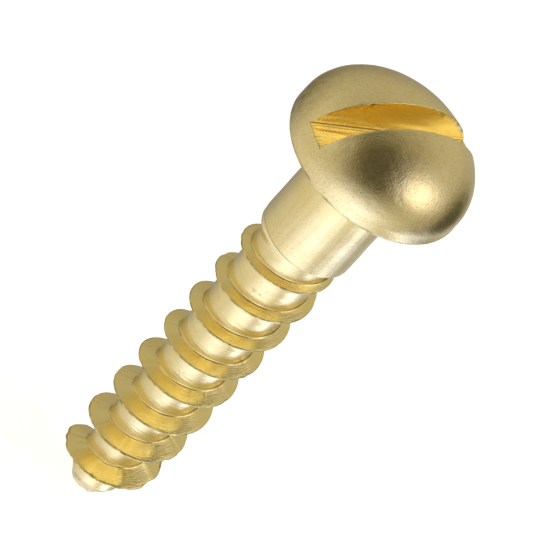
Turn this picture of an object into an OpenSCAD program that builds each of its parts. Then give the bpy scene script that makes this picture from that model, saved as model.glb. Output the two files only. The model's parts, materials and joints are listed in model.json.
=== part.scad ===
// Slotted round-head brass wood screw, in millimetres.
// The origin is on the axis, in the plane of the head's flat underside. +Z points out of
// the crown of the head, the screw runs down -Z, and the driver slot lies along X.
// A wood screw is one piece of metal. Each node here is one region of it, and the regions
// meet face to face.

/* [Overall] */
// Length from the underside of the head to the tip
length_under_head = 25.4; // [22:0.1:32]

/* [Head] */
// Diameter of the domed head
head_d = 9.3; // [8.6:0.05:9.8]
// Height of the crown above the flat underside
head_h = 3.55; // [3.2:0.05:3.8]
// Height of the upright band around the rim
rim_h = 0.65; // [0.3:0.05:0.8]
// Radius of the corner between the rim and the underside
rim_corner_r = 0.15; // [0.05:0.05:0.25]
// Fullness of the dome: 2 is a true ellipse, and more is squarer
dome_power = 2; // [1.8:0.1:2.4]

/* [Driver slot] */
// Width of the slot sawn across the head
slot_w = 1.45; // [1.3:0.05:1.6]
// Depth of the slot below the crown
slot_depth = 2.1; // [1.6:0.05:2.2]

/* [Shank] */
// Diameter of the plain shank
shank_d = 4.75; // [4.65:0.05:4.9]
// Length of the plain shank, from the underside of the head to the shoulder
shank_l = 5.7; // [5:0.05:7]
// Height of the short neck that belongs to the head
neck_h = 0.3; // [0.2:0.1:0.5]

/* [Threaded core] */
// Width of the narrow shoulder where the shank ends
shoulder_w = 0.04; // [0.02:0.02:0.12]
// Length of the cone that leads from the shoulder down to the core
runout_l = 1.2; // [0.4:0.05:1.4]
// Diameter of the core below the run-out cone
core_d = 3.9; // [3.6:0.05:4.1]
// Diameter of the core at its lower end
core_end_d = 2.6; // [2.4:0.05:3]

/* [Thread] */
// Distance from one turn of the thread to the next
pitch = 2.27; // [2:0.01:2.4]
// Diameter over the crests below the shoulder
crest_d = 4.82; // [4.7:0.02:4.9]
// Diameter over the crests at the lower end
crest_end_d = 4.74; // [4.5:0.02:4.8]
// Width of the narrow land along the crest
crest_w = 0.14; // [0.08:0.02:0.2]
// Slope of both flanks, from a plane square to the axis
flank_angle = 20; // [16:1:26]
// Size of the small fillet at the foot of each flank
root_fillet = 0.1; // [0.06:0.02:0.14]
// Direction of the thread's start about the axis
start_angle = 51; // [0:1:359]
// Distance of the thread's start below the shoulder
start_drop = 0.4; // [0.4:0.05:0.8]
// Turns over which the ridge grows to its full height
fade_in_turns = 0.8; // [0.2:0.1:1]
// Turns over which the ridge sinks back into the core at the lower end
fade_out_turns = 0.4; // [0.2:0.1:1]

/* [Point] */
// Length of the blunt point below the core
point_l = 0.85; // [0.6:0.05:1.4]
// Diameter across the blunt end
point_d = 2.0; // [1.6:0.05:2.3]
// Bevel around the blunt end
point_bevel = 0.2; // [0.1:0.05:0.3]

/* [Hidden] */

DOME_COLOUR = [0.74, 0.66, 0.44];
SHANK_COLOUR = [0.84, 0.76, 0.55];
CORE_COLOUR = [0.88, 0.82, 0.64];
RIDGE_COLOUR = [0.82, 0.68, 0.38];

ROUND_FN = 96;        // facets of a full circle in the preview
CORNER_STEPS = 4;     // bands around the rim's lower corner
DOME_STEPS = 24;      // bands between the rim and the crown
CUT_CLEARANCE = 1;    // how far the slot's cutter runs past the head
RINGS_PER_TURN = 44;  // sections of the ridge in one turn
MIN_RIDGE_H = 0.03;   // height of the ridge where it starts and ends
END_MARGIN = 0.3;     // from the last section's middle to the end of the core

shoulder_z = -shank_l;
core_top_z = shoulder_z - runout_l;
tip_z = -length_under_head;
core_end_z = tip_z + point_l;
thread_top_z = shoulder_z - start_drop;
turns = (thread_top_z - core_end_z - END_MARGIN) / pitch;

function lerp(a, b, t) = a + (b - a) * t;

// Outline of the rim's lower corner, from the underside up to the band
function rim_corner() = [
    for (i = [0:CORNER_STEPS])
        let (a = -90 + 90 * i / CORNER_STEPS)
        [head_d / 2 - rim_corner_r * (1 - cos(a)), rim_corner_r * (1 + sin(a))]
];

// Outline of the dome, from the top of the band in to the crown
function dome() = [
    for (i = [0:DOME_STEPS])
        let (a = 90 * i / DOME_STEPS)
        [
            head_d / 2 * pow(cos(a), 2 / dome_power),
            rim_h + (head_h - rim_h) * pow(sin(a), 2 / dome_power)
        ]
];

module head() {
    neck = [[0, -neck_h], [shank_d / 2, -neck_h], [shank_d / 2, 0]];
    color(DOME_COLOUR)
        difference() {
            rotate_extrude($fn = ROUND_FN)
                polygon(concat(neck, rim_corner(), dome()));
            translate([-head_d / 2 - CUT_CLEARANCE, -slot_w / 2, head_h - slot_depth])
                cube([head_d + 2 * CUT_CLEARANCE, slot_w, slot_depth + CUT_CLEARANCE]);
        }
}

module shank() {
    color(SHANK_COLOUR)
        translate([0, 0, shoulder_z])
            cylinder(h = shank_l - neck_h, d = shank_d, $fn = ROUND_FN);
}

module threaded_core() {
    color(CORE_COLOUR)
        rotate_extrude($fn = ROUND_FN)
            polygon([
                [0, shoulder_z],
                [shank_d / 2 - shoulder_w, shoulder_z],
                [core_d / 2, core_top_z],
                [core_end_d / 2, core_end_z],
                [0, core_end_z]
            ]);
}

// Radius of the run-out cone and the tapering core at height z
function core_r(z) =
    z > core_top_z
        ? lerp(core_d / 2, shank_d / 2 - shoulder_w, (z - core_top_z) / runout_l)
        : lerp(core_d, core_end_d, (core_top_z - z) / (core_top_z - core_end_z)) / 2;

// Rounded rise from 0 to 1 while x goes from 0 to 1
function ease(x) = sqrt(1 - pow(1 - min(1, max(0, x)), 2));

// Height of the ridge above the core at turn t, whose middle is at height z
function ridge_h(t, z) =
    let (
        full = lerp(crest_d, crest_end_d, t / turns) / 2 - core_r(z),
        share = ease(t / fade_in_turns) * ease((turns - t) / fade_out_turns)
    )
    max(MIN_RIDGE_H, full * share);

// Section of the ridge at turn t, as [radius, z] from its upper root round to its lower root.
// The roots follow the core, and the fillets fade out with the ridge.
function section(t) =
    let (
        z = thread_top_z - pitch * t,
        h = ridge_h(t, z),
        fillet = min(root_fillet, h / 2),
        land = crest_w / 2,
        flank = land + h * tan(flank_angle),
        foot = flank - fillet * tan(flank_angle),
        root = flank + fillet / 2,
        lift = 1 / cos(180 / RINGS_PER_TURN)
    )
    [
        [core_r(z + root) * lift, z + root],
        [core_r(z + foot) * lift + fillet, z + foot],
        [core_r(z) * lift + h, z + land],
        [core_r(z) * lift + h, z - land],
        [core_r(z - foot) * lift + fillet, z - foot],
        [core_r(z - root) * lift, z - root]
    ];

module thread() {
    rings = ceil(turns * RINGS_PER_TURN);
    side = len(section(0));
    points = [
        for (i = [0:rings])
            let (t = turns * i / rings, a = start_angle - 360 * t)
            for (p = section(t))
                [p.x * cos(a), p.x * sin(a), p.y]
    ];
    walls = [
        for (i = [0:rings - 1], j = [0:side - 1])
            let (a = i * side + j, b = i * side + (j + 1) % side)
            each [[a, b, b + side], [a, b + side, a + side]]
    ];
    start_cap = [for (j = [0:side - 1]) side - 1 - j];
    end_cap = [for (j = [0:side - 1]) rings * side + j];
    color(RIDGE_COLOUR)
        polyhedron(points, concat(walls, [start_cap, end_cap]));
}

module point() {
    color(CORE_COLOUR)
        rotate_extrude($fn = ROUND_FN)
            polygon([
                [0, core_end_z],
                [core_end_d / 2, core_end_z],
                [point_d / 2, tip_z + point_bevel],
                [point_d / 2 - point_bevel, tip_z],
                [0, tip_z]
            ]);
}

head();
shank();
threaded_core();
thread();
point();
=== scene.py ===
"""Looks of a slotted round-head brass wood screw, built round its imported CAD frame.

Shapes are worked out in millimetres in the CAD frame and become metres in make_piece():
the axis is Z, the crown points up, z = 0 is the head's underside and the slot lies along X.
"""

import json
import math

import bmesh
import bpy
import numpy as np
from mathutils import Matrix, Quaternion, Vector


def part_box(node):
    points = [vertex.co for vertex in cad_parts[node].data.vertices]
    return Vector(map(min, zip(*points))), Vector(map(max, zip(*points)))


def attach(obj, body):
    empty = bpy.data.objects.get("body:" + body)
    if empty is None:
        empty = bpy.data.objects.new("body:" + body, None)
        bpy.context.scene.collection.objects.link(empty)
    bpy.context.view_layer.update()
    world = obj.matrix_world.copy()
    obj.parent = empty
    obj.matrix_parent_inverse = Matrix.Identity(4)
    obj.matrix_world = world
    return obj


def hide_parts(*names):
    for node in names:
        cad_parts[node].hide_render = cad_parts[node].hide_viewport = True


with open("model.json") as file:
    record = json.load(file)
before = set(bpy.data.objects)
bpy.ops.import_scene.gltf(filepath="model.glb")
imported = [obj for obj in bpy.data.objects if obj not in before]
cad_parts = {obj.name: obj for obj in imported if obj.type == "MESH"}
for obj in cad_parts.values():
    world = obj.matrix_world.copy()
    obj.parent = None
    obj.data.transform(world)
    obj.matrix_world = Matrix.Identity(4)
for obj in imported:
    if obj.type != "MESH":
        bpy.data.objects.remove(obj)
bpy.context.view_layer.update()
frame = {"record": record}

MM = 0.001


# ---------------------------------------------------------------- sizes, in millimetres

def box_mm(node):
    """Lowest and highest corner of a CAD node, in millimetres."""
    low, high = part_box(node)
    return np.array(low) / MM, np.array(high) / MM


def mount_mm(name):
    """Place of one of the record's mounts, in millimetres."""
    mount = next(m for m in frame["record"]["mounts"] if m["name"] == name)
    return np.array(mount["pos_m"]) / MM


head_low, head_high = box_mm("head")
shank_low, shank_high = box_mm("shank")
core_low, core_high = box_mm("threaded_core")
point_low, point_high = box_mm("point")

HEAD_R = head_high[0]
NECK_Z = head_low[2]
SHANK_R = shank_high[0]
SHOULDER_Z = shank_low[2]
CORE_END_Z = core_low[2]
TIP_Z = point_low[2]
CORE_TOP_R = core_high[0]
CORE_END_R = point_high[0]

# The dome is half an ellipse over a short upright rim
CROWN_Z = 3.55
RIM_Z = 0.65
RIM_CORNER_R = 0.15
NECK_FILLET_R = 0.12

SLOT_HALF_W = 0.725
SLOT_FLOOR_Z = mount_mm("driver_slot")[2]
SLOT_ROOT_R = 0.035
SLOT_EDGE_R = 0.03

RUNOUT_L = 1.2
CORE_R = 1.95
CORE_TOP_Z = SHOULDER_Z - RUNOUT_L

PITCH = 2.27
THREAD_TOP_Z = SHOULDER_Z - 0.4
TURNS = (THREAD_TOP_Z - CORE_END_Z - 0.3) / PITCH
THREAD_START = math.radians(51)
CREST_R = 2.41
CREST_END_R = 2.37
CREST_HALF_W = 0.045
FLANK_SLOPE = math.tan(math.radians(20))
ROOT_FILLETS = {1: 0.09, -1: 0.12}
CREST_ROUND = 0.03
FADE_IN = 0.5
FADE_OUT = 0.4
MIN_RIDGE = 0.02
RIDGE_SINK = 0.06

END_R = 1.0
END_BEVEL = 0.2


# ---------------------------------------------------------------- numbers and noise

def lerp(a, b, share):
    """The value that lies that share of the way from a to b."""
    return a + (b - a) * share


def smooth(x):
    """Soft step from 0 to 1 as x goes from 0 to 1."""
    x = np.clip(x, 0, 1)
    return x * x * (3 - 2 * x)


def ease(x):
    """Rounded rise from 0 to 1, steep at its start."""
    return np.sqrt(1 - (1 - np.clip(x, 0, 1)) ** 2)


def soft_min(a, b, blend):
    """The smaller of a and b, with the corner between them rounded over blend."""
    overlap = np.clip(blend - np.abs(a - b), 0, None) / blend
    return np.minimum(a, b) - overlap ** 2 * blend / 4


def swell(points, seed, wavelength, waves=28):
    """Smooth random field over points, of unit strength, as a sum of plane waves."""
    rng = np.random.default_rng(seed)
    ways = rng.normal(size=(waves, 3))
    ways /= np.linalg.norm(ways, axis=1, keepdims=True)
    ways *= 2 * np.pi / (wavelength * rng.uniform(0.7, 1.5, (waves, 1)))
    phases = rng.uniform(0, 2 * np.pi, waves)
    return np.cos(points @ ways.T + phases).sum(axis=-1) / math.sqrt(waves / 2)


def ripple(x, seed, lowest, highest):
    """Smooth random wave of unit strength that repeats as x grows by a full turn."""
    rng = np.random.default_rng(seed)
    counts = np.arange(lowest, highest + 1)
    phases = rng.uniform(0, 2 * np.pi, len(counts))
    waves = np.cos(np.multiply.outer(x, counts) + phases)
    return waves.sum(axis=-1) / math.sqrt(len(counts) / 2)


# ---------------------------------------------------------------- mesh building

class Skin:
    """Points and faces of one closed piece, gathered row by row."""

    def __init__(self):
        """Starts without points or faces."""
        self.points = []
        self.faces = []
        self.count = 0

    def row(self, points):
        """Adds points and returns their numbers."""
        points = np.atleast_2d(points)
        numbers = np.arange(self.count, self.count + len(points))
        self.points.append(points)
        self.count += len(points)
        return numbers

    def strip(self, upper, lower, closed=False):
        """Faces between two rows of points. A row of one point makes a fan."""
        steps = max(len(upper), len(lower))
        for i in range(steps if closed else steps - 1):
            j = (i + 1) % steps
            a, b = upper[i % len(upper)], upper[j % len(upper)]
            c, d = lower[j % len(lower)], lower[i % len(lower)]
            corners = list(dict.fromkeys(int(n) for n in (a, d, c, b)))
            self.faces.append(corners)

    def all_points(self):
        """All points, in the order in which they were added."""
        return np.concatenate(self.points)


def make_piece(name, skin, node, material, points=None, crease=38):
    """A finished piece that stands for one CAD node, from a skin in millimetres."""
    mesh = bpy.data.meshes.new(name)
    coordinates = skin.all_points() if points is None else points
    mesh.from_pydata((coordinates * MM).tolist(), [], skin.faces)
    shell = bmesh.new()
    shell.from_mesh(mesh)
    bmesh.ops.recalc_face_normals(shell, faces=shell.faces)
    shell.to_mesh(mesh)
    shell.free()
    mesh.shade_smooth()
    mesh.set_sharp_from_angle(angle=math.radians(crease))
    mesh.materials.append(material)
    piece = bpy.data.objects.new(name, mesh)
    bpy.context.scene.collection.objects.link(piece)
    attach(piece, "root")
    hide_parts(node)
    return piece


def circle(sides):
    """Evenly spaced angles round a full turn."""
    return np.linspace(0, 2 * np.pi, sides, endpoint=False)


def turned(outline, sides):
    """Skin turned about the axis from an outline of (radius, height), upper end first."""
    skin = Skin()
    angle = circle(sides)
    rows = []
    for radius, height in outline:
        if radius < 1e-6:
            rows.append(skin.row([[0, 0, height]]))
            continue
        ring = [radius * np.cos(angle), radius * np.sin(angle), np.full(sides, height)]
        rows.append(skin.row(np.stack(ring, axis=1)))
    for upper, lower in zip(rows, rows[1:]):
        skin.strip(upper, lower, closed=True)
    return skin


def arc(centre, radius, start, end, steps):
    """Points of an arc as (radius, height). Its angles start and end are in degrees."""
    angles = np.radians(np.linspace(start, end, steps + 1))
    return [
        (centre[0] + radius * math.cos(a), centre[1] + radius * math.sin(a))
        for a in angles
    ]


def bend(start, corner, end, steps):
    """Points of a smooth bend from start to end that a corner pulls outwards."""
    share = np.linspace(0, 1, steps + 1)[:, None]
    start, corner, end = (np.asarray(p, float) for p in (start, corner, end))
    return (1 - share) ** 2 * start + 2 * share * (1 - share) * corner + share ** 2 * end


# ---------------------------------------------------------------- head

# Rows of points run along the slot, and columns run across it
DOME_ROWS = 54
FLOOR_ROWS = 15
BEND_STEPS = 5
WALL_STEPS = 7
COLUMNS = 60
END_COLUMNS = 22
# The column that follows the end of the slot's floor, as a share of the half length
FLOOR_END_COLUMN = 0.6

# Depths of wear, in millimetres
DOME_DENT = 0.004
DOME_PIT = 0.0015
SAW_RIDGE = 0.006
SAW_WAVE = 0.004
WALL_WAVE = 0.005
EDGE_WAVE = 0.012
EDGE_BURR = 0.007
EDGE_CHIP = 0.008


def dome_z(x, y):
    """Height of the dome over a point of the head."""
    inside = 1 - (x ** 2 + y ** 2) / HEAD_R ** 2
    return RIM_Z + (CROWN_Z - RIM_Z) * np.sqrt(np.clip(inside, 0, None))


def wall_profile(height):
    """Section of a slot wall of that height, as arrays of (y, z) from floor to dome."""
    root = np.minimum(SLOT_ROOT_R, 0.4 * height)
    edge = np.minimum(SLOT_EDGE_R, 0.4 * height)
    section = []
    for a in np.linspace(0, np.pi / 2, BEND_STEPS + 1):
        section.append((SLOT_HALF_W - root * (1 - math.sin(a)), root * (1 - math.cos(a))))
    for share in np.linspace(0, 1, WALL_STEPS + 1)[1:-1]:
        section.append((SLOT_HALF_W + 0 * height, lerp(root, height - edge, share)))
    for a in np.linspace(0, np.pi / 2, BEND_STEPS + 1):
        y = SLOT_HALF_W + edge * (1 - math.cos(a))
        section.append((y, height - edge * (1 - math.sin(a))))
    return section


def half_rows(column):
    """Rows of head points from the slot's middle to one side, for every column.

    column runs from -1 at one end of the slot to 1 at the other.
    """
    slot_share = (SLOT_FLOOR_Z - RIM_Z) / (CROWN_Z - RIM_Z)
    wall_v = math.asin((SLOT_HALF_W + SLOT_EDGE_R) / HEAD_R)

    def across(v):
        """Angle of each column along X."""
        floor_end = math.acos(slot_share / math.cos(min(v, wall_v)))
        columns = [-1, -FLOOR_END_COLUMN, FLOOR_END_COLUMN, 1]
        angles = [-np.pi / 2, -floor_end, floor_end, np.pi / 2]
        return np.interp(column, columns, angles)

    rows = []
    floor_half_w = SLOT_HALF_W - SLOT_ROOT_R
    for y in np.linspace(0, floor_half_w, FLOOR_ROWS + 1)[:-1]:
        v = math.asin(y / HEAD_R)
        x = HEAD_R * math.cos(v) * np.sin(across(v))
        rows.append(np.stack([x, y + 0 * x, soft_min(dome_z(x, y), SLOT_FLOOR_Z, 0.05)], 1))

    x = HEAD_R * math.cos(wall_v) * np.sin(across(wall_v))
    height = np.clip(dome_z(x, SLOT_HALF_W + SLOT_EDGE_R) - SLOT_FLOOR_Z, 1e-4, None)
    profile = wall_profile(height)
    settled = smooth(height / 0.05)
    for i, (y, rise) in enumerate(profile):
        spread = lerp(floor_half_w, SLOT_HALF_W + SLOT_EDGE_R, i / (len(profile) - 1))
        y = lerp(spread, y, settled)
        x = HEAD_R * math.cos(math.asin(spread / HEAD_R)) * np.sin(across(wall_v))
        z = np.minimum(dome_z(x, y), SLOT_FLOOR_Z + rise)
        rows.append(np.stack([x, y, z], 1))

    for v in np.linspace(wall_v, np.pi / 2, DOME_ROWS + 1)[1:-1]:
        x = HEAD_R * math.cos(v) * np.sin(across(v))
        y = HEAD_R * math.sin(v)
        rows.append(np.stack([x, y + 0 * x, dome_z(x, y)], 1))
    return rows


def head_underside(ring):
    """Rows below the rim's ring: rim band, corner, flat underside, fillet and neck."""
    angle = np.arctan2(ring[:, 1], ring[:, 0])
    outline = [(HEAD_R, z) for z in np.linspace(RIM_Z, RIM_CORNER_R, 5)[1:-1]]
    outline += arc((HEAD_R - RIM_CORNER_R, RIM_CORNER_R), RIM_CORNER_R, 0, -90, 7)
    neck = SHANK_R + NECK_FILLET_R
    outline += [(r, 0.0) for r in np.linspace(HEAD_R - RIM_CORNER_R, neck, 12)[1:-1]]
    outline += arc((neck, -NECK_FILLET_R), NECK_FILLET_R, 90, 180, 5)
    outline += [(SHANK_R, NECK_Z)]
    for radius, height in outline:
        yield np.stack([radius * np.cos(angle), radius * np.sin(angle), height + 0 * angle], 1)


def weather_head(points):
    """Small dents in the dome, sawn grooves and ragged edges in the slot."""
    x, y, z = points.T.copy()
    out = points / np.linalg.norm(points, axis=1, keepdims=True)
    depth = DOME_DENT * np.clip(1.3 + swell(points, seed=11, wavelength=1.6), 0, None)
    depth += DOME_PIT * np.clip(1.3 + swell(points, seed=12, wavelength=0.5), 0, None)
    on_dome = smooth((np.abs(y) - SLOT_HALF_W) / 0.2) * smooth((z - 0.1) / 0.3)
    points = points - out * (depth * on_dome)[:, None]

    in_slot = (np.abs(y) < SLOT_HALF_W - 0.02) & (np.abs(z - SLOT_FLOOR_Z) < 0.05)
    sawn = ripple(y * 2.2, seed=21, lowest=3, highest=24) * SAW_RIDGE
    sawn = sawn + SAW_WAVE * swell(points * [0.15, 1, 1], seed=22, wavelength=0.3)
    points[:, 2] += np.where(in_slot, sawn, 0)

    drop = dome_z(x, y) - z
    aside = np.abs(y) - SLOT_HALF_W
    on_wall = np.exp(-(aside / 0.05) ** 2) * smooth((z - SLOT_FLOOR_Z) / 0.3)
    wall_marks = WALL_WAVE * swell(points * [0.12, 0, 1], seed=23, wavelength=0.35)
    edge = np.exp(-(aside / 0.06) ** 2) * np.exp(-((drop / 0.12) ** 2))
    ragged = EDGE_WAVE * swell(points * [1, 0.2, 0.2], seed=24, wavelength=0.55)
    ragged = ragged + EDGE_BURR * swell(points, seed=25, wavelength=0.18)
    off_floor = smooth((z - SLOT_FLOOR_Z) / 0.2)
    points[:, 1] += np.sign(y) * (on_wall * wall_marks + edge * off_floor * ragged)
    points[:, 2] -= edge * EDGE_CHIP * np.clip(swell(points, seed=26, wavelength=0.4), 0, None)
    return points


def build_head(material):
    """Dome with its slot, rim, flat underside and neck, as one closed skin."""
    fine = np.linspace(-FLOOR_END_COLUMN, FLOOR_END_COLUMN, 2 * COLUMNS + 1)
    end = np.linspace(FLOOR_END_COLUMN, 1, END_COLUMNS + 1)[1:]
    column = np.concatenate([-end[::-1], fine, end])
    side = half_rows(column)
    rows = [row * [1, -1, 1] for row in side[:0:-1]] + side

    skin = Skin()
    numbers = [skin.row(row) for row in rows]
    low_pole = skin.row([[0, -HEAD_R, RIM_Z]])
    high_pole = skin.row([[0, HEAD_R, RIM_Z]])
    for upper, lower in zip(numbers, numbers[1:]):
        skin.strip(upper, lower)
    skin.strip(low_pole, numbers[0])
    skin.strip(numbers[-1], high_pole)

    right = [row[-1] for row in numbers]
    left = [row[0] for row in numbers]
    rim = np.concatenate([low_pole, right, high_pole, left[::-1]])
    above = rim
    for ring in head_underside(skin.all_points()[rim]):
        below = skin.row(ring)
        skin.strip(above, below, closed=True)
        above = below
    skin.strip(above, skin.row([[0, 0, NECK_Z]]), closed=True)
    points = weather_head(skin.all_points())
    return make_piece("domed_head", skin, "head", material, points)


# ---------------------------------------------------------------- shank

SHANK_SIDES = 224
SHANK_ROWS = 70
SHOULDER_CORNER_R = 0.015
DRAW_LINE = 0.0022
SHANK_DENT = 0.003


def build_shank(material):
    """Plain cylinder with draw lines, faint dents and a slightly rounded lower edge."""
    corner_r = SHOULDER_CORNER_R
    outline = [(0, NECK_Z), (SHANK_R, NECK_Z)]
    outline += [(SHANK_R, z) for z in np.linspace(NECK_Z, SHOULDER_Z + corner_r, SHANK_ROWS)[1:-1]]
    outline += arc((SHANK_R - corner_r, SHOULDER_Z + corner_r), corner_r, 0, -90, 4)
    outline += [(0, SHOULDER_Z)]
    skin = turned(outline, SHANK_SIDES)
    points = skin.all_points()
    angle = np.arctan2(points[:, 1], points[:, 0])
    drawn = DRAW_LINE * np.clip(1.2 + ripple(angle, seed=31, lowest=5, highest=40), 0, None)
    dents = SHANK_DENT * np.clip(1.2 + swell(points, seed=32, wavelength=1.4), 0, None)
    clear = smooth((NECK_Z - points[:, 2]) / 0.4)
    points[:, :2] *= (1 - (drawn + dents) * clear / SHANK_R)[:, None]
    return make_piece("plain_shank", skin, "shank", material, points)


# ---------------------------------------------------------------- threaded core

CORE_SIDES = 160
CORE_ROWS = 240
TURNING_RING = 0.0025
CORE_DENT = 0.004
# Distance above the ridge at which the groove begins to rise, and over which it rises
GROOVE_W = 0.9
GROOVE_RISE = 0.9
# Shares of a turn: where the groove stops being cut off square, over what share it
# changes, and how far to each side of the ridge's start the run-out is a plain cone
SQUARE_END = 0.52
SQUARE_BLEND = 0.2
START_BLEND = 0.16


def core_r(z, angle):
    """Radius of the core at height z and angle, with the groove's run-out by the shank.

    The groove is at full depth close above the first turn. In front and on the right it
    stops square against the shank, and on the left it rises gently to it.
    """
    taper = (CORE_TOP_Z - z) / (CORE_TOP_Z - CORE_END_Z)
    base = lerp(CORE_R, CORE_END_R, np.clip(taper, 0, 1))
    turn = (THREAD_START - angle) / (2 * math.pi) % 1
    above = z - (THREAD_TOP_Z - PITCH * turn)
    groove = smooth((above - GROOVE_W) / GROOVE_RISE) * smooth((turn - SQUARE_END) / SQUARE_BLEND)
    cone = np.clip((z - CORE_TOP_Z) / RUNOUT_L, 0, 1)
    near_start = smooth(1 - turn / START_BLEND) + smooth((turn - 1) / START_BLEND + 1)
    return base + (CORE_TOP_R - base) * lerp(groove, cone, near_start)


def build_core(material):
    """Tapering core with its turning rings, from the shoulder to the point."""
    heights = np.linspace(SHOULDER_Z, CORE_END_Z, CORE_ROWS)
    outline = [(0, SHOULDER_Z)] + [(CORE_R, z) for z in heights] + [(0, CORE_END_Z)]
    skin = turned(outline, CORE_SIDES)
    points = skin.all_points()
    z = points[:, 2]
    angle = np.arctan2(points[:, 1], points[:, 0])
    clear = smooth((SHOULDER_Z - z) / 0.3) * smooth((z - CORE_END_Z) / 0.3)
    rings = TURNING_RING * np.clip(1.2 + ripple(z * 1.7, seed=41, lowest=4, highest=40), 0, None)
    dents = CORE_DENT * np.clip(1.2 + swell(points, seed=42, wavelength=1.2), 0, None)
    radius = core_r(z, angle) - (rings + dents) * clear
    points[:, :2] *= (radius / CORE_R)[:, None]
    return make_piece("tapered_core", skin, "threaded_core", material, points)


# ---------------------------------------------------------------- thread

RINGS_PER_TURN = 200
NICKS = 90
CREST_WEAR = 0.004
CREST_WANDER = 0.008
# The last turn is torn: over how many turns, and how deep
TORN_TURNS = 1.1
TORN_DEPTH = 0.03


def crest_nicks(turn):
    """Depth of the small nicks along the crest."""
    rng = np.random.default_rng(51)
    depth = 0 * turn
    for _ in range(NICKS):
        place = rng.uniform(0, TURNS)
        width = rng.uniform(0.004, 0.016)
        deep = rng.uniform(0.012, 0.055) * rng.uniform(0.3, 1)
        depth += deep * np.exp(-((turn - place) / width) ** 2)
    return depth


def ridge_section(z, angle, height, wear):
    """Section of the ridge round its middle z, as (radius, z) from upper to lower root.

    wear is how far the middle of the crest is worn down. The last two points lie inside
    the core and close the section.
    """
    flank = CREST_HALF_W + height * FLANK_SLOPE
    round_over = min(CREST_ROUND, height * 0.4)
    top_r = float(core_r(z, angle)) + height

    def side(sign):
        """Root fillet, flank and rounded crest of the upper side, 1, or the lower, -1."""
        fillet = min(ROOT_FILLETS[sign], height * 0.6)
        foot_z = z + sign * flank
        foot = np.array([float(core_r(foot_z, angle)), foot_z])
        crest = np.array([top_r, z + sign * CREST_HALF_W])
        way = (crest - foot) / np.linalg.norm(crest - foot)
        far_z = foot_z + sign * fillet
        root = bend((float(core_r(far_z, angle)), far_z), foot, foot + way * fillet, 6)
        top = bend(crest - way * round_over, crest, crest + [0, -sign * round_over], 4)
        flat = lerp(root[-1], top[0], np.linspace(0, 1, 6)[1:-1, None])
        return np.concatenate([root, flat, top])

    upper, lower = side(1), side(-1)
    land = lerp(upper[-1], lower[-1], 0.5) - [wear, 0]
    inside = [lower[0] + [-RIDGE_SINK, 0.02], upper[0] + [-RIDGE_SINK, -0.02]]
    return np.concatenate([upper, [land], lower[::-1], inside])


def build_thread(material):
    """Helical ridge, which fades in under the shoulder and fades out above the point."""
    count = math.ceil(TURNS * RINGS_PER_TURN)
    turn = np.linspace(0, TURNS, count + 1)
    z = THREAD_TOP_Z - PITCH * turn
    angle = THREAD_START - 2 * math.pi * turn
    full = lerp(CREST_R, CREST_END_R, turn / TURNS) - core_r(z, angle)
    height = full * smooth(turn / FADE_IN) * ease((TURNS - turn) / FADE_OUT)
    worn = np.clip(1 + ripple(turn, seed=52, lowest=9, highest=60), 0, None)
    height -= CREST_WEAR * worn + crest_nicks(turn)
    torn = smooth((turn - TURNS + TORN_TURNS) / 0.5)
    tears = np.clip(0.6 + ripple(turn * 3, seed=53, lowest=6, highest=30), 0, None)
    height -= torn * TORN_DEPTH * tears
    height = np.maximum(MIN_RIDGE, height)
    wander = CREST_WANDER * ripple(turn, seed=54, lowest=3, highest=24)
    wander += torn * TORN_DEPTH * ripple(turn * 2, seed=55, lowest=4, highest=24)

    skin = Skin()
    rings = []
    for i in range(count + 1):
        section = ridge_section(z[i] + wander[i], angle[i], height[i], CREST_WEAR)
        radius = section[:, 0]
        ring = [radius * math.cos(angle[i]), radius * math.sin(angle[i]), section[:, 1]]
        rings.append(skin.row(np.stack(ring, axis=1)))
    for upper, lower in zip(rings, rings[1:]):
        skin.strip(upper, lower, closed=True)
    skin.faces.append([int(n) for n in rings[0]])
    skin.faces.append([int(n) for n in rings[-1]])
    return make_piece("thread_ridge", skin, "thread", material)


# ---------------------------------------------------------------- point

POINT_SIDES = 120
CRUSH_DEPTH = 0.06
TEAR_DEPTH = 0.06


def build_point(material):
    """Blunt bevelled stub, crushed at its sides and torn at its end."""
    length = CORE_END_Z - TIP_Z
    cone_l = length - END_BEVEL
    shares = np.linspace(0, 1, 26)
    sides = [(lerp(CORE_END_R, END_R, s), CORE_END_Z - s * cone_l) for s in shares]
    bevel = bend(sides[-1], (END_R - 0.04, TIP_Z + 0.05), (END_R - END_BEVEL, TIP_Z), 8)
    face = [((END_R - END_BEVEL) * s, TIP_Z) for s in np.linspace(1, 0, 10)[1:]]
    outline = [(0, CORE_END_Z)] + sides + [tuple(p) for p in bevel[1:]] + face
    skin = turned(outline, POINT_SIDES)
    points = skin.all_points()
    angle = np.arctan2(points[:, 1], points[:, 0])
    share = smooth((CORE_END_Z - points[:, 2]) / length)
    crush = np.clip(0.25 + ripple(angle, seed=61, lowest=2, highest=7), 0, None) * CRUSH_DEPTH
    crush += np.clip(0.4 + swell(points, seed=62, wavelength=0.5), 0, None) * 0.035
    points[:, :2] *= (1 - crush * share)[:, None]
    torn = np.clip(0.3 + swell(points * [1, 1, 0.2], seed=63, wavelength=0.8), 0, 2.2) * TEAR_DEPTH
    torn += np.clip(swell(points, seed=64, wavelength=0.25), 0, None) * 0.02
    points[:, 2] += torn * smooth((share - 0.55) / 0.45)
    return make_piece("blunt_point", skin, "point", material, points)


# ---------------------------------------------------------------- materials

def add(tree, kind, inputs=None, **settings):
    """A node with its settings and its inputs, each a value or another node's output."""
    made = tree.nodes.new(kind)
    for key, value in settings.items():
        setattr(made, key, value)
    for key, value in (inputs or {}).items():
        if isinstance(value, bpy.types.NodeSocket):
            tree.links.new(value, made.inputs[key])
        else:
            made.inputs[key].default_value = value
    return made


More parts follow.
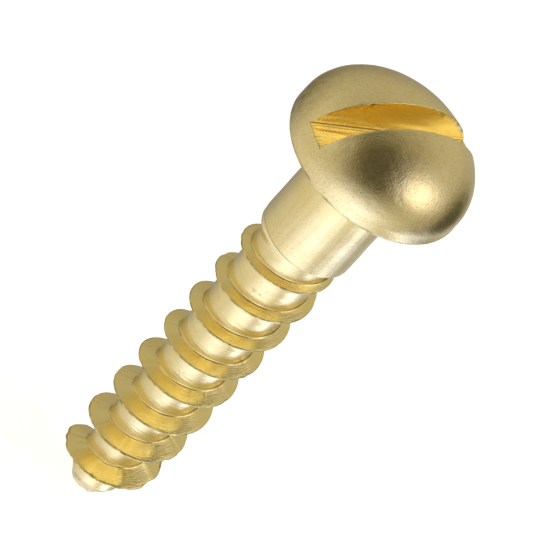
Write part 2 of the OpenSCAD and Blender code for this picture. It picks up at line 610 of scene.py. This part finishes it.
def math_node(tree, operation, a, b=0.0, clamp=False):
    """Result of a sum, product or other operation on one or two values."""
    made = add(tree, "ShaderNodeMath", {0: a, 1: b}, operation=operation, use_clamp=clamp)
    return made.outputs[0]


def stretched(tree, place, scale):
    """Object coordinates scaled to units of texture, each axis on its own."""
    return add(tree, "ShaderNodeVectorMath", {0: place, 1: scale}, operation="MULTIPLY").outputs[0]


def fog(tree, place, scale, detail=3.0, rough=0.55):
    """Cloudy value from 0 to 1, where scale is the number of clouds in a metre."""
    inputs = {"Vector": place, "Scale": scale, "Detail": detail, "Roughness": rough}
    return add(tree, "ShaderNodeTexNoise", inputs).outputs["Fac"]


def span(tree, value, low, high, start=0.0, end=1.0):
    """Value mapped from low..high to start..end and kept inside."""
    inputs = {"Value": value, "From Min": low, "From Max": high, "To Min": start, "To Max": end}
    return add(tree, "ShaderNodeMapRange", inputs).outputs["Result"]


def axis_radius(tree, place):
    """Distance from the screw's axis, in metres."""
    flat = stretched(tree, place, (1, 1, 0))
    return add(tree, "ShaderNodeVectorMath", {0: flat}, operation="LENGTH").outputs["Value"]


def turned_marks(tree, place):
    """Fine rings left by turning and thread cutting, a little broken along their length."""
    radius = axis_radius(tree, place)
    parts = add(tree, "ShaderNodeSeparateXYZ", {0: place}).outputs
    inputs = {
        0: math_node(tree, "MULTIPLY", radius, 14000.0),
        1: math_node(tree, "MULTIPLY", parts["Z"], 9000.0),
        2: math_node(tree, "MULTIPLY", parts["X"], 500.0),
    }
    lined = add(tree, "ShaderNodeCombineXYZ", inputs).outputs[0]
    return fog(tree, lined, 1.0, detail=4.0)


def drawn_marks(tree, place):
    """Faint lengthwise lines from drawing the wire and rolling the shank."""
    return fog(tree, stretched(tree, place, (6500, 6500, 260)), 1.0, detail=4.0)


def sawn_marks(tree, place):
    """Lines that the slotting saw left along X."""
    return fog(tree, stretched(tree, place, (420, 11000, 11000)), 1.0, detail=5.0, rough=0.62)


def tumbled_marks(tree, place):
    """Soft uneven grain from tumbling."""
    return fog(tree, place, 8000.0, detail=4.0, rough=0.6)


def slot_mask(tree, place):
    """1 on the slot's floor and walls, 0 elsewhere."""
    parts = add(tree, "ShaderNodeSeparateXYZ", {0: place}).outputs
    half_w = (SLOT_HALF_W + 0.02) * MM
    aside = math_node(tree, "ABSOLUTE", parts["Y"])
    across = span(tree, aside, half_w, half_w + 0.00002, 1.0, 0.0)
    deep = span(tree, parts["Z"], (SLOT_FLOOR_Z - 0.06) * MM, (SLOT_FLOOR_Z - 0.03) * MM)
    return math_node(tree, "MULTIPLY", across, deep)


def specks(tree, place, scale, share, size):
    """Small ragged spots, 1 in a spot, on a share of the cells."""
    cells = add(tree, "ShaderNodeTexVoronoi", {"Vector": place, "Scale": scale, "Randomness": 1.0})
    torn = math_node(tree, "MULTIPLY", fog(tree, place, scale * 3.0), size)
    distance = math_node(tree, "ADD", cells.outputs["Distance"], torn)
    near = span(tree, distance, size, size * 1.7, 1.0, 0.0)
    pick = add(tree, "ShaderNodeSeparateColor", {0: cells.outputs["Color"]}).outputs[0]
    chosen = math_node(tree, "LESS_THAN", pick, share)
    return math_node(tree, "MULTIPLY", near, chosen)


def blended(tree, share, first, second, blend="MIX"):
    """Colour between first and second."""
    made = add(tree, "ShaderNodeMix", data_type="RGBA", blend_type=blend)
    for key, value in ((0, share), (6, first), (7, second)):
        if isinstance(value, bpy.types.NodeSocket):
            tree.links.new(value, made.inputs[key])
        else:
            made.inputs[key].default_value = value
    return made.outputs[2]


PALE = (0.93, 0.81, 0.50, 1)
BRASS = (0.90, 0.76, 0.40, 1)
DEEP = (0.83, 0.65, 0.29, 1)
GOLD = (0.96, 0.79, 0.33, 1)
PEPPER = (0.55, 0.45, 0.22, 1)
TARNISH = (0.30, 0.22, 0.09, 1)
# The last colour is for dirt and for painted shade.
DIRT_AND_SHADE = (0.07, 0.05, 0.02, 1)


def bumped(tree, height, distance, below=None):
    """Normal of a relief whose full height is that distance in millimetres."""
    inputs = {"Height": height, "Distance": distance * MM, "Strength": 1.0}
    if below is not None:
        inputs["Normal"] = below
    return add(tree, "ShaderNodeBump", inputs).outputs["Normal"]


def brass(name, marks, fresh_and_reflected_gold, darkening, roughness=0.22, marks_depth=0.005, marks_share=0.45,
          grain=(6500.0, 0.005, 0.10), speck_share=0.05):
    """Satin brass with its tool marks, cloudy tone, dark specks, pits and fine grain.

    The three functions after the name give the relief of its tool marks, where it is
    golden, partly as fresh-cut metal and partly as painted golden reflection, and where it
    is darker, from dirt and from painted shade. marks_share is how far the marks deepen the
    tone, and speck_share how many cells hold a speck. Depths are in millimetres, and grain
    holds the grain's fineness, its depth and how dark it is.
    """
    fineness, grain_depth, pepper = grain
    material = bpy.data.materials.new(name)
    material.use_nodes = True
    tree = material.node_tree
    tree.nodes.clear()
    place = add(tree, "ShaderNodeTexCoord").outputs["Object"]
    lines = marks(tree, place)
    grit = fog(tree, place, fineness, detail=3.0, rough=0.6)

    clouds = fog(tree, place, 420.0, detail=4.0)
    mottle = fog(tree, place, 2600.0, detail=4.0, rough=0.6)
    tone = blended(tree, span(tree, clouds, 0.35, 0.68), BRASS, PALE)
    tone = blended(tree, span(tree, mottle, 0.52, 0.75, 0.0, 0.4), tone, DEEP)
    # Golden tone: partly the metal's own, partly painted golden reflection from neighbouring brass.
    cut_and_reflected_gold = fresh_and_reflected_gold(tree, place)
    tone = blended(tree, cut_and_reflected_gold, tone, GOLD)
    tone = blended(tree, span(tree, lines, 0.5, 0.28, 0.0, marks_share), tone, DEEP)
    outside_gold = math_node(tree, "SUBTRACT", 1.0, cut_and_reflected_gold, clamp=True)
    peppered = math_node(tree, "MULTIPLY", span(tree, grit, 0.5, 0.68, 0.0, pepper), outside_gold)
    tone = blended(tree, peppered, tone, PEPPER)
    small = specks(tree, place, 5200.0, speck_share, 0.16)
    large = specks(tree, place, 1500.0, speck_share * 0.5, 0.08)
    spots = math_node(tree, "MAXIMUM", small, large)
    tone = blended(tree, math_node(tree, "MULTIPLY", spots, 0.6), tone, TARNISH)
    # Darkening: dirt and stains, and painted shade in corners, creases and under the rim.
    dark = darkening(tree, place)
    tone = blended(tree, dark, tone, DIRT_AND_SHADE)

    rough = span(tree, mottle, 0.3, 0.7, roughness - 0.05, roughness + 0.06)
    rough = math_node(tree, "ADD", rough, math_node(tree, "MULTIPLY", dark, 0.2))
    normal = bumped(tree, grit, grain_depth)
    normal = bumped(tree, lines, marks_depth, normal)
    normal = bumped(tree, math_node(tree, "SUBTRACT", 1.0, spots), 0.003, normal)

    inputs = {"Base Color": tone, "Roughness": rough, "Normal": normal}
    shader = add(tree, "ShaderNodeBsdfPrincipled", inputs)
    shader.inputs["Metallic"].default_value = 1.0
    add(tree, "ShaderNodeOutputMaterial", {"Surface": shader.outputs[0]})
    return material


def patchy(tree, place, mask, scale, least=0.35, most=0.65):
    """The mask, broken up so that it comes and goes in clouds of that scale."""
    return math_node(tree, "MULTIPLY", mask, span(tree, fog(tree, place, scale), least, most))


def height_band(tree, place, low, full):
    """0 at height low and 1 at height full, both in millimetres."""
    parts = add(tree, "ShaderNodeSeparateXYZ", {0: place}).outputs
    return span(tree, parts["Z"], low * MM, full * MM)


def radius_band(tree, place, low, full):
    """0 at radius low and 1 at radius full, both in millimetres."""
    return span(tree, axis_radius(tree, place), low * MM, full * MM)


def head_marks(tree, place):
    """Sawn lines in the slot and tumbled grain on the dome."""
    mask = slot_mask(tree, place)
    sawn = math_node(tree, "MULTIPLY", sawn_marks(tree, place), mask)
    rest = math_node(tree, "SUBTRACT", 1.0, mask)
    tumbled = math_node(tree, "MULTIPLY", tumbled_marks(tree, place), rest)
    return math_node(tree, "ADD", sawn, tumbled)


def painted_shade_patch(tree, place, centre, reach):
    """1 at a point given in millimetres, fading to 0 at that reach from it."""
    centre = tuple(c * MM for c in centre)
    off = add(tree, "ShaderNodeVectorMath", {0: place, 1: centre}, operation="DISTANCE")
    return span(tree, off.outputs["Value"], 0.2 * MM, reach * MM, 1.0, 0.0)


def head_painted_shade(tree, place):
    """Painted shade under the rim's lower corner and in the slot's inner corners, and a painted dark
    reflection on the rim's left-back side.
    """
    # Painted shade: a dark band under the rim's lower corner.
    corner = height_band(tree, place, 0.24, 0.12)
    outside = radius_band(tree, place, HEAD_R - 0.45, HEAD_R - 0.2)
    corner = math_node(tree, "MULTIPLY", corner, outside)
    corner = patchy(tree, place, corner, 1100.0, 0.33, 0.62)
    # Painted shade in the slot's inner corners, where the walls meet the floor.
    parts = add(tree, "ShaderNodeSeparateXYZ", {0: place}).outputs
    aside = math_node(tree, "ABSOLUTE", parts["Y"])
    near_wall = span(tree, aside, (SLOT_HALF_W - 0.05) * MM, (SLOT_HALF_W - 0.01) * MM)
    near_floor = height_band(tree, place, SLOT_FLOOR_Z + 0.06, SLOT_FLOOR_Z + 0.01)
    corners = math_node(tree, "MULTIPLY", near_wall, near_floor)
    corners = math_node(tree, "MULTIPLY", corners, slot_mask(tree, place))
    darkening = math_node(tree, "MULTIPLY", math_node(tree, "MAXIMUM", corner, corners), 0.65)
    # Painted dark reflection: a soft brown patch on the left-back of the rim.
    left = direction(140, 6)
    painted_dark_reflection = painted_shade_patch(tree, place, tuple(c * HEAD_R for c in left), 2.4)
    blotches = span(tree, fog(tree, place, 2600.0), 0.3, 0.7, 0.3, 0.8)
    painted_dark_reflection = math_node(tree, "MULTIPLY", painted_dark_reflection, blotches)
    return math_node(tree, "MAXIMUM", darkening, painted_dark_reflection)


def shank_painted_warm_reflection(tree, place):
    """Painted warm reflection: a warmer tone close under the head."""
    return math_node(tree, "MULTIPLY", height_band(tree, place, SHOULDER_Z + 2.0, 0.0), 0.7)


def shank_painted_shadow(tree, place):
    """A thin broken line of painted shadow round the shank's lower edge."""
    edge = height_band(tree, place, SHOULDER_Z + 0.06, SHOULDER_Z + 0.04)
    outside = radius_band(tree, place, SHANK_R - 0.04, SHANK_R - 0.02)
    edge = math_node(tree, "MULTIPLY", edge, outside)
    return math_node(tree, "MULTIPLY", patchy(tree, place, edge, 700.0, 0.3, 0.55), 0.6)


def turn_distance(tree, place):
    """Distance along the axis from the middle of the nearest turn of the ridge, in metres."""
    parts = add(tree, "ShaderNodeSeparateXYZ", {0: place}).outputs
    below = math_node(tree, "SUBTRACT", THREAD_TOP_Z * MM, parts["Z"])
    below = math_node(tree, "DIVIDE", below, PITCH * MM)
    angle = math_node(tree, "ARCTAN2", parts["Y"], parts["X"])
    behind = math_node(tree, "SUBTRACT", angle, THREAD_START)
    behind = math_node(tree, "DIVIDE", behind, 2 * math.pi)
    turns = math_node(tree, "ADD", below, behind)
    phase = math_node(tree, "FRACT", math_node(tree, "ADD", turns, 0.5))
    aside = math_node(tree, "ABSOLUTE", math_node(tree, "SUBTRACT", phase, 0.5))
    return math_node(tree, "MULTIPLY", aside, PITCH * MM)


def foot_distance(height):
    """Distance from the middle of a turn to the foot of its flank on the core."""
    taper = (CORE_TOP_Z - height) / (CORE_TOP_Z - CORE_END_Z)
    return CREST_HALF_W + FLANK_SLOPE * (CREST_R - lerp(CORE_R, CORE_END_R, taper))


def crease_painted_shade(tree, place):
    """Thin broken painted shade in the crease between the flanks and the core."""
    parts = add(tree, "ShaderNodeSeparateXYZ", {0: place}).outputs
    feet = [foot_distance(h) * MM for h in (CORE_TOP_Z, CORE_END_Z)]
    foot = span(tree, parts["Z"], CORE_TOP_Z * MM, CORE_END_Z * MM, *feet)
    off = math_node(tree, "SUBTRACT", turn_distance(tree, place), foot)
    crease = span(tree, math_node(tree, "ABSOLUTE", off), 0.01 * MM, 0.035 * MM, 1.0, 0.0)
    return math_node(tree, "MULTIPLY", patchy(tree, place, crease, 1100.0, 0.4, 0.65), 0.55)


def core_fresh(tree, place):
    """A faint golden cloudiness."""
    return math_node(tree, "MULTIPLY", fog(tree, place, 700.0), 0.15)


def core_stains_and_crease_shade(tree, place):
    """Painted shade in the thread's creases and a few faint stains."""
    stains = span(tree, fog(tree, place, 1200.0), 0.66, 0.78, 0.0, 0.3)
    return math_node(tree, "MAXIMUM", stains, crease_painted_shade(tree, place))


def ridge_cut_and_reflected_gold(tree, place):
    """Gold on the flanks, in clouds: partly fresh-cut metal, partly painted golden reflection."""
    return span(tree, fog(tree, place, 900.0, detail=2.0), 0.2, 0.7, 0.35, 1.0)


def ridge_crest_line_and_crease_shade(tree, place):
    """A dark broken line along the worn crest, and painted shade in the creases."""
    edge = CREST_HALF_W * MM
    crest = span(tree, turn_distance(tree, place), edge, edge + 0.02 * MM, 1.0, 0.0)
    crest = math_node(tree, "MULTIPLY", patchy(tree, place, crest, 3200.0, 0.3, 0.62), 0.6)
    return math_node(tree, "MAXIMUM", crest, crease_painted_shade(tree, place))


def point_dirt(tree, place):
    """Grime in clouds over the point."""
    return span(tree, fog(tree, place, 1500.0), 0.42, 0.7, 0.0, 0.4)


# ---------------------------------------------------------------- studio

# Daylight is bluer than the lamp, and light off the walls is warm. Something dark takes
# the light away that it hides, so its strength is negative.
DAYLIGHT = (0.9, 1.05, 1.6)
LAMP = (1.0, 0.97, 1.05)
WARM = (1.0, 0.95, 0.8)

# Lights and dark things round the object: name, azimuth, elevation, half width in
# degrees, strength and tint. Azimuth turns from +X towards +Y. The photo doesn't show the
# room, so the names are guesses. Most values are rounded from a fit to its colours.
STUDIO = [
    ("white table below", 0, -90, 35, 0.5, DAYLIGHT),
    ("low light from the front", -125, -25, 25, 0.75, DAYLIGHT),
    ("key light, upper right", -50, 45, 15, 1.5, LAMP),
    ("low fill on the right", -50, -50, 12, 1.6, DAYLIGHT),
    ("window on the left", 160, 50, 30, 0.5, WARM),
    ("camera and its operator", -150, 70, 45, -1.0, WARM),
    ("doorway on the right", -15, -10, 20, -0.7, WARM),
    ("dark wall on the right", -45, -25, 30, -0.3, WARM),
    ("dark wall at the back", 65, -25, 35, -0.5, WARM),
    ("wooden edge of the table", 125, -50, 40, -0.1, DAYLIGHT),
    ("tripod of the camera", -80, -40, 10, -0.3, DAYLIGHT),
]
ROOM = (0.75, 0.7, 0.55)
DARKEST = (0.09, 0.085, 0.055)
BACKDROP = 1.05


def direction(azimuth, elevation):
    """Unit vector that points that way. Both angles are in degrees."""
    a, e = math.radians(azimuth), math.radians(elevation)
    return (math.cos(e) * math.cos(a), math.cos(e) * math.sin(a), math.sin(e))


def build_world():
    """Soft studio surroundings that light the brass, and a plain white backdrop."""
    world = bpy.data.worlds.new("studio")
    bpy.context.scene.world = world
    world.use_nodes = True
    tree = world.node_tree
    tree.nodes.clear()
    way = add(tree, "ShaderNodeTexCoord").outputs["Generated"]
    way = add(tree, "ShaderNodeVectorMath", {0: way}, operation="NORMALIZE").outputs[0]
    total = add(tree, "ShaderNodeCombineXYZ", {0: ROOM[0], 1: ROOM[1], 2: ROOM[2]}).outputs[0]
    for _, azimuth, elevation, spread, strength, tint in STUDIO:
        colour = tuple(strength * t for t in tint)
        towards = {0: way, 1: direction(azimuth, elevation)}
        cosine = add(tree, "ShaderNodeVectorMath", towards, operation="DOT_PRODUCT").outputs["Value"]
        sharp = math.log(2) / (1 - math.cos(math.radians(spread)))
        power = math_node(tree, "MULTIPLY", math_node(tree, "SUBTRACT", cosine, 1.0), sharp)
        glow = math_node(tree, "EXPONENT", power)
        scaled = {0: colour, "Scale": glow}
        light = add(tree, "ShaderNodeVectorMath", scaled, operation="SCALE").outputs[0]
        both = {0: total, 1: light}
        total = add(tree, "ShaderNodeVectorMath", both, operation="ADD").outputs[0]
    kept = {0: total, 1: DARKEST}
    total = add(tree, "ShaderNodeVectorMath", kept, operation="MAXIMUM").outputs[0]
    studio = add(tree, "ShaderNodeBackground", {"Color": total})
    backdrop = add(tree, "ShaderNodeBackground", {"Color": (1, 1, 1, 1), "Strength": BACKDROP})
    seen = add(tree, "ShaderNodeLightPath").outputs["Is Camera Ray"]
    shaders = {0: seen, 1: studio.outputs[0], 2: backdrop.outputs[0]}
    mixed = add(tree, "ShaderNodeMixShader", shaders)
    add(tree, "ShaderNodeOutputWorld", {"Surface": mixed.outputs[0]})


def build_floor():
    """Plain white table, level with the tip, that glows like a light table.

    Reflections don't see it: the studio's light from below stands for it there.
    """
    half = 1.5
    cells = 12
    steps = np.linspace(-half, half, cells + 1)
    points = [(x, y, TIP_Z * MM - 0.00002) for y in steps for x in steps]
    side = cells + 1
    faces = [
        (j * side + i, j * side + i + 1, (j + 1) * side + i + 1, (j + 1) * side + i)
        for j in range(cells) for i in range(cells)
    ]
    mesh = bpy.data.meshes.new("table")
    mesh.from_pydata(points, [], faces)
    material = bpy.data.materials.new("white_table")
    material.use_nodes = True
    tree = material.node_tree
    tree.nodes.clear()
    place = add(tree, "ShaderNodeTexCoord").outputs["Object"]
    paper = blended(tree, fog(tree, place, 40.0), (0.80, 0.80, 0.80, 1), (0.84, 0.84, 0.84, 1))
    shader = add(tree, "ShaderNodeBsdfPrincipled", {"Base Color": paper, "Roughness": 0.9})
    shader.inputs["Specular IOR Level"].default_value = 0.0
    shader.inputs["Emission Color"].default_value = (1, 1, 1, 1)
    shader.inputs["Emission Strength"].default_value = 0.75
    add(tree, "ShaderNodeOutputMaterial", {"Surface": shader.outputs[0]})
    mesh.materials.append(material)
    table = bpy.data.objects.new("white_table", mesh)
    bpy.context.scene.collection.objects.link(table)
    table.visible_glossy = False
    table.visible_shadow = False


# The camera's place and lens, fitted to the outline in the photo
VIEW_AZIMUTH = -49.9
VIEW_ELEVATION = 38.3
VIEW_ROLL = 42.3
VIEW_DISTANCE = 362.6
VIEW_TARGET = (-3.53, -2.34, -5.33)
LENS = 539.2


def build_camera():
    """Long lens above the head's side, turned so that the screw leans to the right."""
    data = bpy.data.cameras.new("camera")
    data.sensor_width = 36.0
    data.lens = LENS
    data.clip_start = 0.01
    data.clip_end = 10.0
    camera = bpy.data.objects.new("camera", data)
    bpy.context.scene.collection.objects.link(camera)
    back = Vector(direction(VIEW_AZIMUTH - 90, VIEW_ELEVATION))
    camera.location = (Vector(VIEW_TARGET) + back * VIEW_DISTANCE) * MM
    camera.rotation_mode = "QUATERNION"
    level = (-back).to_track_quat("-Z", "Y")
    camera.rotation_quaternion = level @ Quaternion((0, 0, 1), math.radians(VIEW_ROLL))
    bpy.context.scene.camera = camera
    bpy.context.scene.view_settings.view_transform = "Standard"


# ---------------------------------------------------------------- the screw

build_camera()
build_world()
build_floor()
# The slot's gold is partly fresh-cut metal, partly painted golden reflection between its walls.
build_head(brass(
    "head_brass", head_marks, slot_mask, head_painted_shade,
    roughness=0.2, marks_depth=0.007, marks_share=0.9, grain=(12000.0, 0.006, 0.38), speck_share=0.12,
))
build_shank(brass(
    "shank_brass", drawn_marks, shank_painted_warm_reflection, shank_painted_shadow, grain=(9000.0, 0.005, 0.25), speck_share=0.1,
))
core_brass = brass("core_brass", turned_marks, core_fresh, core_stains_and_crease_shade, roughness=0.21)
build_core(core_brass)
build_thread(brass(
    "ridge_brass", turned_marks, ridge_cut_and_reflected_gold, ridge_crest_line_and_crease_shade,
    roughness=0.22, marks_depth=0.012, marks_share=0.15,
))
build_point(brass(
    "point_brass", tumbled_marks, core_fresh, point_dirt,
    roughness=0.3, marks_depth=0.02, marks_share=1.0, grain=(5000.0, 0.01, 0.8),
))
